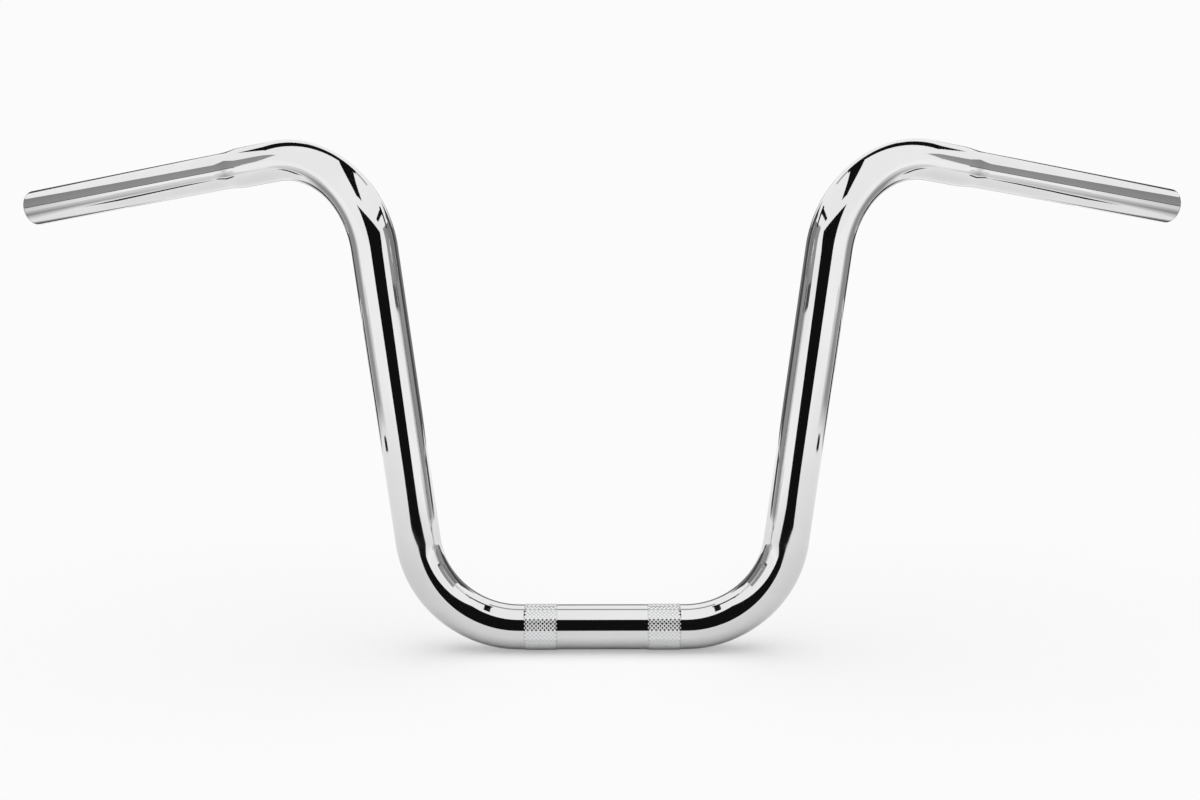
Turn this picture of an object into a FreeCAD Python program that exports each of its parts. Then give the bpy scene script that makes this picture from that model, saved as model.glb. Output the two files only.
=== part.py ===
"""Motorcycle handlebar: one steel tube bent to a high U, with swept-back ends of a smaller diameter.

Millimetres. The origin is on the tube's axis, halfway between the two knurled clamp bands. +X runs along the
clamp section, +Z runs up in the plane of the two uprights, and +Y points back, the way the grip ends sweep.
"""

import math
import os

import FreeCAD
import Part

# Tube
tube_diameter = 31.75
shoulder_diameter = 28.0
grip_diameter = 25.4
wall = 2.5

# Centreline of one side, from the middle of the bar out to the tip
clamp_half_length = 58.5
lower_bend_radius = 71.5
lower_bend_angle = 83.0
upright_length = 207.0
upper_bend_radius = 67.0
pullback_angle = 25.0
droop_angle = 9.5
shoulder_length = 25.0
neck_length = 19.0
grip_length = 181.0

# Knurled clamp bands
band_spacing = 87.0
band_width = 23.5
band_height = 0.4

# Ends of the tube
tip_rounding = 1.0
mouth_chamfer = 0.6

# Circles that carry the taper round the upper bend
taper_sections = 13

MIDDLE = FreeCAD.Vector(0, 0, 0)
OUTWARD = FreeCAD.Vector(1, 0, 0)
BACKWARD = FreeCAD.Vector(0, 1, 0)
UPWARD = FreeCAD.Vector(0, 0, 1)


def direction(pullback, droop):
    """Unit vector that leaves the bar outwards, swept back and tipped down by two angles in degrees."""
    level = math.cos(math.radians(droop))
    outward = OUTWARD * (level * math.cos(math.radians(pullback)))
    backward = BACKWARD * (level * math.sin(math.radians(pullback)))
    return outward + backward - UPWARD * math.sin(math.radians(droop))


def bend_geometry(start, heading, towards, radius):
    """Centre and axis of a bend that turns from one heading towards another."""
    axis = heading.cross(towards).normalize()
    inward = axis.cross(heading)
    return start + inward * radius, axis


def turned(vector, axis, angle):
    """The vector turned about an axis by an angle in degrees."""
    return FreeCAD.Rotation(axis, angle).multVec(vector)


def taper_share(along):
    """How much of the taper is done at a share of the way round the bend: level at both ends, soonest early on."""
    left = 1 - along
    return 1 - left**3 * (1 + 3 * along)


def straight(start, heading, length, radius):
    """A straight stretch of round bar."""
    return Part.makeCylinder(radius, length, start, heading)


def even_bend(start, heading, centre, axis, angle, radius):
    """A bend whose diameter stays the same."""
    disc = Part.Face(Part.Wire(Part.makeCircle(radius, start, heading)))
    return disc.revolve(centre, axis, angle)


def tapered_bend(start, heading, centre, axis, angle, first_radius, last_radius):
    """A bend whose diameter falls from one radius to another."""
    rings = []
    for number in range(taper_sections):
        along = number / (taper_sections - 1)
        radius = first_radius + (last_radius - first_radius) * taper_share(along)
        ring = Part.makeCircle(radius, start, heading)
        ring.rotate(centre, axis, angle * along)
        rings.append(Part.Wire(ring))
    return Part.makeLoft(rings, True, False)


def turned_end(start, heading, across, radii, rounding, overrun):
    """The shoulder, the neck and the grip, turned about one axis. A negative rounding flares the mouth."""
    shoulder_radius, grip_radius = radii
    neck_start = shoulder_length
    neck_end = neck_start + neck_length
    tip = neck_end + grip_length
    drop = shoulder_radius - grip_radius
    neck_radius = (neck_length**2 + drop**2) / (4 * drop)
    half_turn = math.asin(neck_length / 2 / neck_radius) / 2
    reach = neck_radius * math.sin(half_turn)
    rise = neck_radius * (1 - math.cos(half_turn))

    def point(along, out):
        return start + heading * along + across * out

    middle = point((neck_start + neck_end) / 2, (shoulder_radius + grip_radius) / 2)
    first_neck_arc = Part.Arc(
        point(neck_start, shoulder_radius),
        point(neck_start + reach, shoulder_radius - rise),
        middle,
    )
    second_neck_arc = Part.Arc(
        middle,
        point(neck_end - reach, grip_radius + rise),
        point(neck_end, grip_radius),
    )
    edge_start = point(tip - abs(rounding), grip_radius)
    edge_end = point(tip, grip_radius - rounding)
    if rounding > 0:
        diagonal = rounding * math.sqrt(0.5)
        edge_middle = point(tip - rounding + diagonal, grip_radius - rounding + diagonal)
        tip_edge = Part.Arc(edge_start, edge_middle, edge_end).toShape()
    else:
        tip_edge = Part.makeLine(edge_start, edge_end)
    outline = [
        Part.makeLine(point(0, 0), point(0, shoulder_radius)),
        Part.makeLine(point(0, shoulder_radius), point(neck_start, shoulder_radius)),
        first_neck_arc.toShape(),
        second_neck_arc.toShape(),
        Part.makeLine(point(neck_end, grip_radius), edge_start),
        tip_edge,
    ]
    last = edge_end
    if overrun > 0:
        beyond = point(tip + overrun, grip_radius - rounding)
        outline.append(Part.makeLine(edge_end, beyond))
        last = beyond
    outline.append(Part.makeLine(last, point(tip + overrun, 0)))
    outline.append(Part.makeLine(point(tip + overrun, 0), point(0, 0)))
    profile = Part.Face(Part.Wire(outline))
    return profile.revolve(start, heading, 360)


def half_bar(inset, rounding, overrun):
    """One side of the bar as a solid run, set in from the tube's outside by a depth."""
    tube_radius = tube_diameter / 2 - inset
    end_radii = (shoulder_diameter / 2 - inset, grip_diameter / 2 - inset)

    bend_start = MIDDLE + OUTWARD * clamp_half_length
    clamp_section = straight(MIDDLE, OUTWARD, clamp_half_length, tube_radius)

    centre, axis = bend_geometry(bend_start, OUTWARD, UPWARD, lower_bend_radius)
    lower_bend = even_bend(bend_start, OUTWARD, centre, axis, lower_bend_angle, tube_radius)
    rising = turned(OUTWARD, axis, lower_bend_angle)
    upright_start = centre + turned(bend_start - centre, axis, lower_bend_angle)

    upright = straight(upright_start, rising, upright_length, tube_radius)
    upright_end = upright_start + rising * upright_length

    grip_heading = direction(pullback_angle, droop_angle)
    upper_bend_angle = math.degrees(rising.getAngle(grip_heading))
    centre, axis = bend_geometry(upright_end, rising, grip_heading, upper_bend_radius)
    upper_bend = tapered_bend(
        upright_end, rising, centre, axis, upper_bend_angle, tube_radius, end_radii[0]
    )
    shoulder_start = centre + turned(upright_end - centre, axis, upper_bend_angle)

    end = turned_end(shoulder_start, grip_heading, axis, end_radii, rounding, overrun)
    return clamp_section.multiFuse([lower_bend, upright, upper_bend, end])


def whole_bar(inset, rounding, overrun=0):
    """Both sides of the bar, one the mirror of the other, joined in the middle."""
    side = half_bar(inset, rounding, overrun)
    other_side = side.mirror(MIDDLE, OUTWARD)
    return side.fuse(other_side).removeSplitter()


def knurl_band(middle):
    """The envelope of one knurled band: a low collar with bevelled ends, rooted in the tube wall."""
    tube_radius = tube_diameter / 2
    root = tube_radius - wall / 2
    crest = tube_radius + band_height
    low = middle - band_width / 2
    high = middle + band_width / 2
    corners = [
        (low, root),
        (low, tube_radius),
        (low + band_height, crest),
        (high - band_height, crest),
        (high, tube_radius),
        (high, root),
    ]
    points = [OUTWARD * along + UPWARD * out for along, out in corners]
    profile = Part.Face(Part.makePolygon(points + points[:1]))
    return profile.revolve(MIDDLE, OUTWARD, 360)


def handlebar():
    """The bent tube with its knurled bands, hollow from tip to tip."""
    outside = whole_bar(0, tip_rounding)
    bands = [knurl_band(-band_spacing / 2), knurl_band(band_spacing / 2)]
    bore = whole_bar(wall, -mouth_chamfer, overrun=wall)
    return outside.multiFuse(bands).cut(bore).removeSplitter()


os.makedirs("parts", exist_ok=True)
bar = handlebar()
bar.exportStep("parts/handlebar.step")
print("solids", len(bar.Solids), "valid", bar.isValid(), "volume mm3", round(bar.Volume, 1))
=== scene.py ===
"""A chromed motorcycle handlebar on a white table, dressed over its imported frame. Metres, CAD frame."""

import math

import bpy
from mathutils import Matrix, Quaternion, Vector


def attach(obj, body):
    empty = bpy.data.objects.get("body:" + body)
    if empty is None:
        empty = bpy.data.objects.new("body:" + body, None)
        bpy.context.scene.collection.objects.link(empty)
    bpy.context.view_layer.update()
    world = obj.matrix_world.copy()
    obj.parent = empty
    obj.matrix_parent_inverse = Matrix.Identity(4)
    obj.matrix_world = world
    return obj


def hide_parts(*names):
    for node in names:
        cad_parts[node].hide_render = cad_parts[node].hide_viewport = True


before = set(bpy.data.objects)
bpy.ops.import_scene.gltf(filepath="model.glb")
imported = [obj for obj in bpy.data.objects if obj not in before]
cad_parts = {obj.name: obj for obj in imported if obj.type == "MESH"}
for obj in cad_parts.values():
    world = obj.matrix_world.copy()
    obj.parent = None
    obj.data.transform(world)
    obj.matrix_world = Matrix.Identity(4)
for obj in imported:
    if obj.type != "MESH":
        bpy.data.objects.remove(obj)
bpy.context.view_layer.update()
bpy.ops.object.select_all(action="DESELECT")
bpy.context.scene.view_settings.view_transform = "Standard"

# The bar.
# One length of steel tube, bent cold in four places, drawn down at both ends and chromed all over.
# Two bands of diamond knurl are rolled into its straight middle, where the riser clamps hold it.
MM = 0.001
tube_radius = 15.875 * MM
shoulder_radius = 14.0 * MM
grip_radius = 12.7 * MM
wall = 2.5 * MM
clamp_half_length = 58.5 * MM
lower_bend_radius = 71.5 * MM
lower_bend_angle = math.radians(83.0)
upright_length = 207.0 * MM
upper_bend_radius = 67.0 * MM
pullback_angle = math.radians(25.0)
droop_angle = math.radians(9.5)
shoulder_length = 25.0 * MM
neck_length = 19.0 * MM
grip_length = 181.0 * MM
tip_rounding = 1.0 * MM
mouth_chamfer = 0.6 * MM
points_round = 72
edge_ring_gap = 0.6 * MM
smooth_angle = math.radians(25)

band_middle = 43.5 * MM
band_half_width = 11.75 * MM
crest_radius = tube_radius + 0.4 * MM
groove_radius = tube_radius + 0.12 * MM
knurl_rows = 16
diamond_flat_percent = 60

# Places along the centreline of the side at +X
outward = Vector((1, 0, 0))
rising = Vector((math.cos(lower_bend_angle), 0, math.sin(lower_bend_angle)))
level = math.cos(droop_angle)
grip_heading = Vector(
    (level * math.cos(pullback_angle), level * math.sin(pullback_angle), -math.sin(droop_angle))
)
clamp_end = outward * clamp_half_length
lower_pivot = clamp_end + Vector((0, 0, lower_bend_radius))
lower_axis = Vector((0, -1, 0))
upright_start = lower_pivot + Quaternion(lower_axis, lower_bend_angle) @ (clamp_end - lower_pivot)
upright_end = upright_start + rising * upright_length
upper_axis = rising.cross(grip_heading).normalized()
upper_bend_angle = rising.angle(grip_heading)
upper_pivot = upright_end + upper_axis.cross(rising) * upper_bend_radius
shoulder_start = upper_pivot + Quaternion(upper_axis, upper_bend_angle) @ (upright_end - upper_pivot)
neck_start = shoulder_start + grip_heading * shoulder_length
grip_start = neck_start + grip_heading * neck_length
tip = grip_start + grip_heading * grip_length

# The skin starts as a ring in the middle of the bar. It is drawn out to the tip, then back down the bore.
bpy.ops.mesh.primitive_circle_add(vertices=points_round, radius=tube_radius, rotation=(0, math.pi / 2, 0))
bar = bpy.context.object
bar.name = bar.data.name = "handlebar_tube"
bpy.ops.object.transform_apply(rotation=True)
bpy.ops.object.mode_set(mode="EDIT")
bpy.ops.mesh.select_all(action="SELECT")
ring = {"centre": Vector((0, 0, 0)), "radius": tube_radius}


def size_ring(radius):
    """Brings the open ring to a radius about its own centre."""
    share = radius / ring["radius"]
    if abs(share - 1) > 1e-9:
        bpy.ops.transform.resize(value=(share, share, share), center_override=ring["centre"])
    ring["radius"] = radius


def draw_to(centre, radius):
    """Draws the tube out straight, to a new centre and radius."""
    bpy.ops.mesh.extrude_region_move(TRANSFORM_OT_translate={"value": centre - ring["centre"]})
    ring["centre"] = centre
    size_ring(radius)


def run_to(centre, radius, steps):
    """Draws the tube out straight in steps. A ring close to each end keeps the run's shading true."""
    start = ring["centre"].copy()
    edge = edge_ring_gap / (centre - start).length
    draw_to(start.lerp(centre, edge), radius)
    for number in range(1, steps):
        draw_to(start.lerp(centre, number / steps), radius)
    draw_to(start.lerp(centre, 1 - edge), radius)
    draw_to(centre, radius)


def bend(pivot, axis, angle, steps, radius_at):
    """Bends the tube about an axis in even steps, with a radius for each. Spin turns left-handed here."""
    step_angle = angle / steps
    for number in range(1, steps + 1):
        bpy.ops.mesh.spin(steps=1, angle=step_angle, center=pivot, axis=-axis)
        ring["centre"] = pivot + Quaternion(axis, step_angle) @ (ring["centre"] - pivot)
        size_ring(radius_at(number / steps))


def taper(along, inset):
    """Radius round the upper bend: the draw-down is level at both ends and soonest early on."""
    left = 1 - along
    done = 1 - left**3 * (1 + 3 * along)
    return tube_radius + (shoulder_radius - tube_radius) * done - inset


def neck(along, inset):
    """Radius through the neck, an S of two equal arcs from the shoulder down to the grip."""
    drop = shoulder_radius - grip_radius
    arc_radius = (neck_length**2 + drop**2) / (4 * drop)
    reach = neck_length * min(along, 1 - along)
    fall = arc_radius - math.sqrt(arc_radius**2 - reach**2)
    return (shoulder_radius - fall if along < 0.5 else grip_radius + fall) - inset


band_start = band_middle - band_half_width
band_end = band_middle + band_half_width
row_height = 2 * band_half_width / knurl_rows
run_to(outward * band_start, tube_radius, 3)
for row in range(1, knurl_rows + 1):
    draw_to(outward * (band_start + row * row_height), tube_radius)
run_to(clamp_end, tube_radius, 1)
bend(lower_pivot, lower_axis, lower_bend_angle, 44, lambda along: tube_radius)
run_to(upright_end, tube_radius, 14)
bend(upper_pivot, upper_axis, upper_bend_angle, 52, lambda along: taper(along, 0))
run_to(neck_start, shoulder_radius, 3)
neck_steps = 16
for number in range(1, neck_steps + 1):
    share = number / neck_steps
    draw_to(neck_start.lerp(grip_start, share), neck(share, 0))
run_to(tip - grip_heading * tip_rounding, grip_radius, 14)
rounding_steps = 6
for number in range(1, rounding_steps + 1):
    turn = math.pi / 2 * number / rounding_steps
    set_back = tip_rounding * (1 - math.sin(turn))
    draw_to(tip - grip_heading * set_back, grip_radius - tip_rounding * (1 - math.cos(turn)))
draw_to(tip, grip_radius - wall + mouth_chamfer)
draw_to(tip - grip_heading * mouth_chamfer, grip_radius - wall)
bpy.ops.object.mode_set(mode="OBJECT")
outside_faces = len(bar.data.polygons)
bpy.ops.object.mode_set(mode="EDIT")
draw_to(grip_start, grip_radius - wall)
for number in range(neck_steps // 2 - 1, -1, -1):
    share = 2 * number / neck_steps
    draw_to(neck_start.lerp(grip_start, share), neck(share, wall))
draw_to(shoulder_start, shoulder_radius - wall)
bend(upper_pivot, upper_axis, -upper_bend_angle, 24, lambda along: taper(1 - along, wall))
draw_to(upright_start, tube_radius - wall)
bend(lower_pivot, lower_axis, -lower_bend_angle, 20, lambda along: tube_radius - wall)
draw_to(Vector((0, 0, 0)), tube_radius - wall)

# The three finishes, face by face: plate outside, knurl on the band, bare steel in the bore
bpy.ops.object.mode_set(mode="OBJECT")
for name in ("polished_chrome", "knurled_chrome", "bore_steel"):
    bar.data.materials.append(bpy.data.materials.new(name))
for face in bar.data.polygons:
    if face.index >= outside_faces:
        face.material_index = 2
    elif band_start < face.center.x < band_end and abs(face.center.z) < 2 * tube_radius:
        face.material_index = 1


def choose_knurl(wanted):
    """Selects points of the band by their place on it. Every other one is the middle of a diamond."""
    bpy.ops.object.mode_set(mode="EDIT")
    bpy.ops.mesh.select_mode(type="VERT")
    bpy.ops.mesh.select_all(action="DESELECT")
    bpy.ops.object.mode_set(mode="OBJECT")
    for point in bar.data.vertices:
        row = (point.co.x - band_start) / row_height
        column = math.atan2(point.co.z, point.co.y) / (2 * math.pi) * points_round
        if -0.1 < row < knurl_rows + 0.1 and math.hypot(point.co.y, point.co.z) > tube_radius - wall / 2:
            off_grid = abs(row - round(row)) > 0.1 or abs(column - round(column)) > 0.1
            on_edge = row < 0.1 or row > knurl_rows - 0.1
            odd = (round(row) + round(column)) % 2 == 1
            point.select = wanted(off_grid, on_edge, odd)
    bpy.ops.object.mode_set(mode="EDIT")


# Knurl: each diamond's middle is cut flat and raised, and the grooves between are joined and pressed down
choose_knurl(lambda off_grid, on_edge, odd: not odd and not on_edge)
bpy.ops.mesh.bevel(offset_type="PERCENT", offset_pct=diamond_flat_percent, affect="VERTICES", segments=1)
choose_knurl(lambda off_grid, on_edge, odd: odd and not off_grid)
bpy.ops.mesh.vert_connect()
choose_knurl(lambda off_grid, on_edge, odd: off_grid)
rise = crest_radius / tube_radius
bpy.ops.transform.resize(value=(1, rise, rise), center_override=(0, 0, 0))
choose_knurl(lambda off_grid, on_edge, odd: odd and not off_grid and not on_edge)
rise = groove_radius / tube_radius
bpy.ops.transform.resize(value=(1, rise, rise), center_override=(0, 0, 0))
bpy.ops.object.mode_set(mode="OBJECT")

mirror = bar.modifiers.new("other_side", "MIRROR")
mirror.merge_threshold = 0.00001
bpy.ops.object.modifier_apply(modifier=mirror.name)
bpy.ops.object.mode_set(mode="EDIT")
bpy.ops.mesh.select_all(action="SELECT")
bpy.ops.mesh.remove_doubles(threshold=0.000001)
bpy.ops.mesh.normals_make_consistent(inside=False)
bpy.ops.object.mode_set(mode="OBJECT")
bpy.ops.object.shade_smooth_by_angle(angle=smooth_angle)

# Polished plate: a mirror with the faint ripple of drawn tube and a little haze
chrome = bar.data.materials["polished_chrome"]
chrome.use_nodes = True
nodes = chrome.node_tree.nodes
links = chrome.node_tree.links
plate = nodes["Principled BSDF"]
plate.inputs["Metallic"].default_value = 1.0
place = nodes.new("ShaderNodeTexCoord")
haze = nodes.new("ShaderNodeTexNoise")
haze.inputs["Scale"].default_value = 26.0
haze.inputs["Detail"].default_value = 5.0
links.new(place.outputs["Object"], haze.inputs["Vector"])
tint = nodes.new("ShaderNodeValToRGB")
tint.color_ramp.elements[0].position = 0.3
tint.color_ramp.elements[0].color = (0.805, 0.806, 0.81, 1)
tint.color_ramp.elements[1].position = 0.7
tint.color_ramp.elements[1].color = (0.85, 0.851, 0.854, 1)
links.new(haze.outputs["Fac"], tint.inputs["Fac"])
links.new(tint.outputs["Color"], plate.inputs["Base Color"])
gloss = nodes.new("ShaderNodeMapRange")
gloss.inputs["From Min"].default_value = 0.3
gloss.inputs["From Max"].default_value = 0.75
gloss.inputs["To Min"].default_value = 0.02
gloss.inputs["To Max"].default_value = 0.07
links.new(haze.outputs["Fac"], gloss.inputs["Value"])
links.new(gloss.outputs["Result"], plate.inputs["Roughness"])
ripple = nodes.new("ShaderNodeTexNoise")
ripple.inputs["Scale"].default_value = 45.0
ripple.inputs["Detail"].default_value = 1.0
links.new(place.outputs["Object"], ripple.inputs["Vector"])
ripple_bump = nodes.new("ShaderNodeBump")
ripple_bump.inputs["Strength"].default_value = 1.0
ripple_bump.inputs["Distance"].default_value = 0.00006
links.new(ripple.outputs["Fac"], ripple_bump.inputs["Height"])
links.new(ripple_bump.outputs["Normal"], plate.inputs["Normal"])

# Knurl: the same plate, a little duller where the roller has torn the steel, with painted shade darkening
# the colour down in the grooves
knurl = bar.data.materials["knurled_chrome"]
knurl.use_nodes = True
nodes = knurl.node_tree.nodes
links = knurl.node_tree.links
satin = nodes["Principled BSDF"]
satin.inputs["Metallic"].default_value = 1.0
place = nodes.new("ShaderNodeTexCoord")
torn = nodes.new("ShaderNodeTexNoise")
torn.inputs["Scale"].default_value = 900.0
torn.inputs["Detail"].default_value = 4.0
links.new(place.outputs["Object"], torn.inputs["Vector"])
grain = nodes.new("ShaderNodeMapRange")
grain.inputs["To Min"].default_value = 0.05
grain.inputs["To Max"].default_value = 0.12
links.new(torn.outputs["Fac"], grain.inputs["Value"])
links.new(grain.outputs["Result"], satin.inputs["Roughness"])
apart = nodes.new("ShaderNodeSeparateXYZ")
links.new(place.outputs["Object"], apart.inputs["Vector"])
out_from_axis = nodes.new("ShaderNodeCombineXYZ")
links.new(apart.outputs["Y"], out_from_axis.inputs["Y"])
links.new(apart.outputs["Z"], out_from_axis.inputs["Z"])
height = nodes.new("ShaderNodeVectorMath")
height.operation = "LENGTH"
links.new(out_from_axis.outputs["Vector"], height.inputs[0])
# Painted shade: the base colour darkens from the crests down into the grooves
depth = nodes.new("ShaderNodeMapRange")
depth.inputs["From Min"].default_value = groove_radius
depth.inputs["From Max"].default_value = crest_radius
links.new(height.outputs["Value"], depth.inputs["Value"])
shade = nodes.new("ShaderNodeValToRGB")
shade.color_ramp.elements[0].color = (0.66, 0.665, 0.675, 1)
shade.color_ramp.elements[1].position = 0.6
shade.color_ramp.elements[1].color = (0.84, 0.843, 0.85, 1)
links.new(depth.outputs["Result"], shade.inputs["Fac"])
links.new(shade.outputs["Color"], satin.inputs["Base Color"])

# Bore: drawn steel that the plating bath hardly reached, dull and streaked
steel = bar.data.materials["bore_steel"]
steel.use_nodes = True
nodes = steel.node_tree.nodes
links = steel.node_tree.links
dull = nodes["Principled BSDF"]
dull.inputs["Metallic"].default_value = 0.9
place = nodes.new("ShaderNodeTexCoord")
streak = nodes.new("ShaderNodeTexNoise")
streak.inputs["Scale"].default_value = 160.0
streak.inputs["Detail"].default_value = 6.0
links.new(place.outputs["Object"], streak.inputs["Vector"])
patina = nodes.new("ShaderNodeValToRGB")
patina.color_ramp.elements[0].color = (0.16, 0.15, 0.14, 1)
patina.color_ramp.elements[1].color = (0.42, 0.41, 0.40, 1)
links.new(streak.outputs["Fac"], patina.inputs["Fac"])
links.new(patina.outputs["Color"], dull.inputs["Base Color"])
scale = nodes.new("ShaderNodeMapRange")
scale.inputs["To Min"].default_value = 0.35
scale.inputs["To Max"].default_value = 0.65
links.new(streak.outputs["Fac"], scale.inputs["Value"])
links.new(scale.outputs["Result"], dull.inputs["Roughness"])
scale_bump = nodes.new("ShaderNodeBump")
scale_bump.inputs["Strength"].default_value = 0.5
scale_bump.inputs["Distance"].default_value = 0.0002
links.new(streak.outputs["Fac"], scale_bump.inputs["Height"])
links.new(scale_bump.outputs["Normal"], dull.inputs["Normal"])

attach(bar, "root")
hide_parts("handlebar")

# The table.
# White paper that runs on to the horizon. The bar stands on it on its two knurled bands.
floor_height = -crest_radius - 0.02 * MM
bpy.ops.object.select_all(action="DESELECT")
bpy.ops.mesh.primitive_plane_add(size=40, location=(0, 0, floor_height))
table = bpy.context.object
table.name = "table"
paper = bpy.data.materials.new("white_paper")
paper.use_nodes = True
nodes = paper.node_tree.nodes
links = paper.node_tree.links
paper_face = nodes["Principled BSDF"]
paper_face.inputs["Roughness"].default_value = 0.9
paper_face.inputs["Specular IOR Level"].default_value = 0.0
place = nodes.new("ShaderNodeTexCoord")

# Seen in the chrome, the paper is greyer close to the bar: painted shade for glossy rays only, on paper that
# is otherwise evenly white
away = nodes.new("ShaderNodeVectorMath")
away.operation = "LENGTH"
links.new(place.outputs["Object"], away.inputs[0])
painted_shade_near_bar = nodes.new("ShaderNodeMapRange")
painted_shade_near_bar.inputs["From Min"].default_value = 0.2
painted_shade_near_bar.inputs["From Max"].default_value = 1.0
painted_shade_near_bar.inputs["To Min"].default_value = 0.76
painted_shade_near_bar.inputs["To Max"].default_value = 1.0
links.new(away.outputs["Value"], painted_shade_near_bar.inputs["Value"])
path = nodes.new("ShaderNodeLightPath")
paper_tone_and_painted_shade = nodes.new("ShaderNodeMix")
paper_tone_and_painted_shade.data_type = "RGBA"
paper_tone_and_painted_shade.inputs["A"].default_value = (0.96, 0.96, 0.96, 1)
links.new(painted_shade_near_bar.outputs["Result"], paper_tone_and_painted_shade.inputs["B"])
links.new(path.outputs["Is Glossy Ray"], paper_tone_and_painted_shade.inputs["Factor"])
links.new(paper_tone_and_painted_shade.outputs["Result"], paper_face.inputs["Base Color"])

# For the camera the paper glows a little, so it comes out white and keeps the bar's shadow
backing = nodes.new("ShaderNodeEmission")
backing.inputs["Color"].default_value = (0.966, 0.966, 0.966, 1)
bright = nodes.new("ShaderNodeMath")
bright.operation = "MULTIPLY"
bright.inputs[1].default_value = 0.38
links.new(path.outputs["Is Camera Ray"], bright.inputs[0])
lit_paper = nodes.new("ShaderNodeMixShader")
links.new(bright.outputs["Value"], lit_paper.inputs["Fac"])
links.new(paper_face.outputs["BSDF"], lit_paper.inputs[1])
links.new(backing.outputs["Emission"], lit_paper.inputs[2])
links.new(lit_paper.outputs["Shader"], nodes["Material Output"].inputs["Surface"])
table.data.materials.append(paper)

# The camera.
# It stands in front of the bar, level with the tops of the uprights, and looks slightly down.
camera_data = bpy.data.cameras.new("camera")
camera_data.sensor_width = 36.0
camera_data.lens = 1588.8 / 1200 * camera_data.sensor_width
camera = bpy.data.objects.new("camera", camera_data)
camera.location = (0.0002, -1.0833, 0.3566)
swing = Matrix.Rotation(math.radians(0.086), 3, "Z")
tip_down = Matrix.Rotation(math.radians(90 - 10.102), 3, "X")
roll = Matrix.Rotation(math.radians(-0.105), 3, "Z")
camera.rotation_euler = (swing @ tip_down @ roll).to_euler()
bpy.context.scene.collection.objects.link(camera)
bpy.context.scene.camera = camera

# The studio.
# A white tent, lit softly from above. Black, grey and pale sheets stand, lie and hang round the bar. They
# glow though they are no lamps, light nothing, cast no shadow and are seen only in the chrome:
# painted reflections of an opening in front, side walls, dark corners and booms overhead.
lamp_data = bpy.data.lights.new("overhead_light", "SUN")
lamp_data.energy = 2.03
lamp_data.angle = math.radians(75)
lamp = bpy.data.objects.new("overhead_light", lamp_data)
lamp.location = (0, 0, 1.5)
lamp.visible_glossy = False
bpy.context.scene.collection.objects.link(lamp)

world = bpy.data.worlds.new("tent")
bpy.context.scene.world = world
world.use_nodes = True
nodes = world.node_tree.nodes
links = world.node_tree.links
cloth = nodes["Background"]
cloth.inputs["Strength"].default_value = 1.0
path = nodes.new("ShaderNodeLightPath")
seen = nodes.new("ShaderNodeMath")
seen.operation = "MAXIMUM"
links.new(path.outputs["Is Camera Ray"], seen.inputs[0])
links.new(path.outputs["Is Glossy Ray"], seen.inputs[1])
cloth_tone = nodes.new("ShaderNodeMix")
cloth_tone.data_type = "RGBA"
cloth_tone.inputs["A"].default_value = (0.36, 0.36, 0.36, 1)
cloth_tone.inputs["B"].default_value = (0.966, 0.966, 0.966, 1)
links.new(seen.outputs["Value"], cloth_tone.inputs["Factor"])
links.new(cloth_tone.outputs["Result"], cloth.inputs["Color"])

# The sheets glow though they are no lamps, in the tone of their corners: painted reflection light
glow = bpy.data.materials.new("painted_reflection_glow")
glow.use_nodes = True
glow.cycles.emission_sampling = "NONE"
nodes = glow.node_tree.nodes
links = glow.node_tree.links
nodes.remove(nodes["Principled BSDF"])
tone = nodes.new("ShaderNodeAttribute")
tone.attribute_name = "tone"
light = nodes.new("ShaderNodeEmission")
links.new(tone.outputs["Color"], light.inputs["Color"])
links.new(light.outputs["Emission"], nodes["Material Output"].inputs["Surface"])


def sheet(name, corners, tones):
    """A flat glowing sheet with a tone at each corner, seen in the chrome alone: a painted reflection."""
    bpy.ops.object.select_all(action="DESELECT")
    bpy.ops.mesh.primitive_plane_add(size=1)
    backdrop = bpy.context.object
    backdrop.name = backdrop.data.name = name
    shades = backdrop.data.color_attributes.new("tone", "FLOAT_COLOR", "POINT")
    for point, shade, corner, value in zip(backdrop.data.vertices, shades.data, corners, tones):
        point.co = Vector(corner)
        shade.color = (value, value, value, 1)
    backdrop.data.materials.append(glow)
    backdrop.visible_camera = False
    backdrop.visible_diffuse = False
    backdrop.visible_shadow = False
    backdrop.visible_transmission = False


def standing(name, first, last, low, high, tones):
    """A sheet that stands between two places on the table, with a tone at each place."""
    sheet(name, ((*first, low), (*last, low), (*first, high), (*last, high)), tones * 2)


def lying(name, lift, corners, tones):
    """A sheet that lies on the table."""
    sheet(name, tuple((x, y, floor_height + lift) for x, y in corners), tones)


def sector(side, foot, bearing, radius):
    """A place on the table at a bearing in degrees outwards from straight ahead, from an upright's foot."""
    turn = math.radians(bearing)
    return side * (foot + radius * math.sin(turn)), -radius * math.cos(turn)


# Every sheet below glows and is seen only in the chrome: painted reflections of dark and pale surroundings
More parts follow.
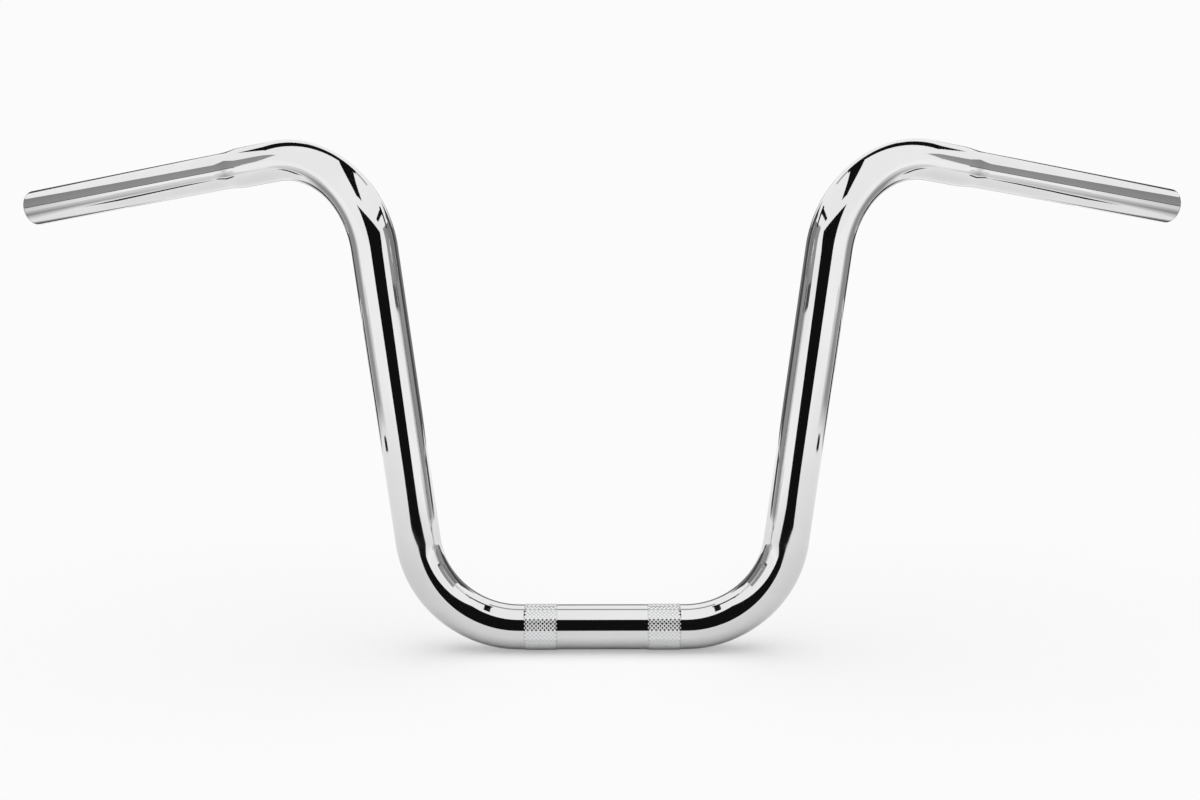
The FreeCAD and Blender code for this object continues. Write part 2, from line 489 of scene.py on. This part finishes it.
black = (0.006,) * 4
wall_foot = -0.016
wall_reach = 1.2
screen_reach = 1.19
screen_foot = 0.25
screen_low = 0.29
upright_foot = 0.14
boom_height = 0.455
cross_boom_height = 0.456
lying("front_edge", 0.0003, ((-0.222, -0.335), (0.222, -0.335), (-0.245, -0.575), (0.245, -0.575)), black)
sheet(
    "front_opening",
    (
        (-0.245, -0.57, floor_height),
        (0.245, -0.57, floor_height),
        (-0.235, -0.325, 0.43),
        (0.235, -0.325, 0.43),
    ),
    black,
)
standing("back_wall", (-0.6, 1.0), (0.6, 1.0), wall_foot, 0.42, (0.2, 0.2))
sheet(
    "ceiling_seam",
    ((-0.3, 0.33, 0.85), (0.3, 0.33, 0.85), (-0.3, 0.5, 0.85), (0.3, 0.5, 0.85)),
    (0.34,) * 4,
)
for side, name in ((-1, "right"), (1, "left")):
    for part, bearings, near_tones, far_tones in (
        ("front", (68, 90), (0.9, 0.8), (0.8, 0.3)),
        ("middle", (90, 120), (0.8, 0.8), (0.3, 0.36)),
        ("seam", (123, 147), (0.5, 0.5), (0.07, 0.07)),
    ):
        first, last = bearings
        for ring_name, near, far, tones in (
            ("rise", 0.54, 0.66, near_tones + far_tones),
            ("run", 0.66, 1.3, far_tones * 2),
        ):
            lying(
                f"{name}_floor_{part}_{ring_name}",
                0.001,
                (
                    sector(side, upright_foot, first, near),
                    sector(side, upright_foot, last, near),
                    sector(side, upright_foot, first, far),
                    sector(side, upright_foot, last, far),
                ),
                tones,
            )
    lying(
        f"{name}_grip_edge",
        0.002,
        ((side * 0.595, -0.085), (side * 0.65, -0.085), (side * 0.595, 0.06), (side * 0.65, 0.06)),
        black,
    )
    wall_line = side * wall_reach
    standing(f"{name}_wall_front", (wall_line, -0.3), (wall_line, 0.03), wall_foot, screen_foot, (0.95, 0.3))
    standing(f"{name}_wall", (wall_line, 0.03), (wall_line, 0.85), wall_foot, screen_low, (0.3, 0.3))
    standing(f"{name}_corner", (wall_line, 0.85), (side * 0.72, 1.4), wall_foot, 0.9, (0.07, 0.07))
    screen_line = side * screen_reach
    standing(f"{name}_screen", (screen_line, -0.45), (screen_line, 0.8), screen_low, 0.8, (0.34, 0.17))
    standing(
        f"{name}_screen_foot",
        (screen_line, -0.45),
        (screen_line, 0.2),
        screen_foot,
        screen_low,
        (0.08, 0.06),
    )
    sheet(
        f"{name}_boom",
        (
            (side * 0.147, -0.2, boom_height),
            (side * 0.1, -0.2, boom_height),
            (side * 0.147, 0.1, boom_height),
            (side * 0.1, 0.1, boom_height),
        ),
        black,
    )
    sheet(
        f"{name}_cross_boom",
        (
            (side * 0.37, 0.02, cross_boom_height),
            (side * 0.37, 0.09, cross_boom_height),
            (side * 0.091, 0.06, cross_boom_height),
            (side * 0.091, 0.13, cross_boom_height),
        ),
        black,
    )
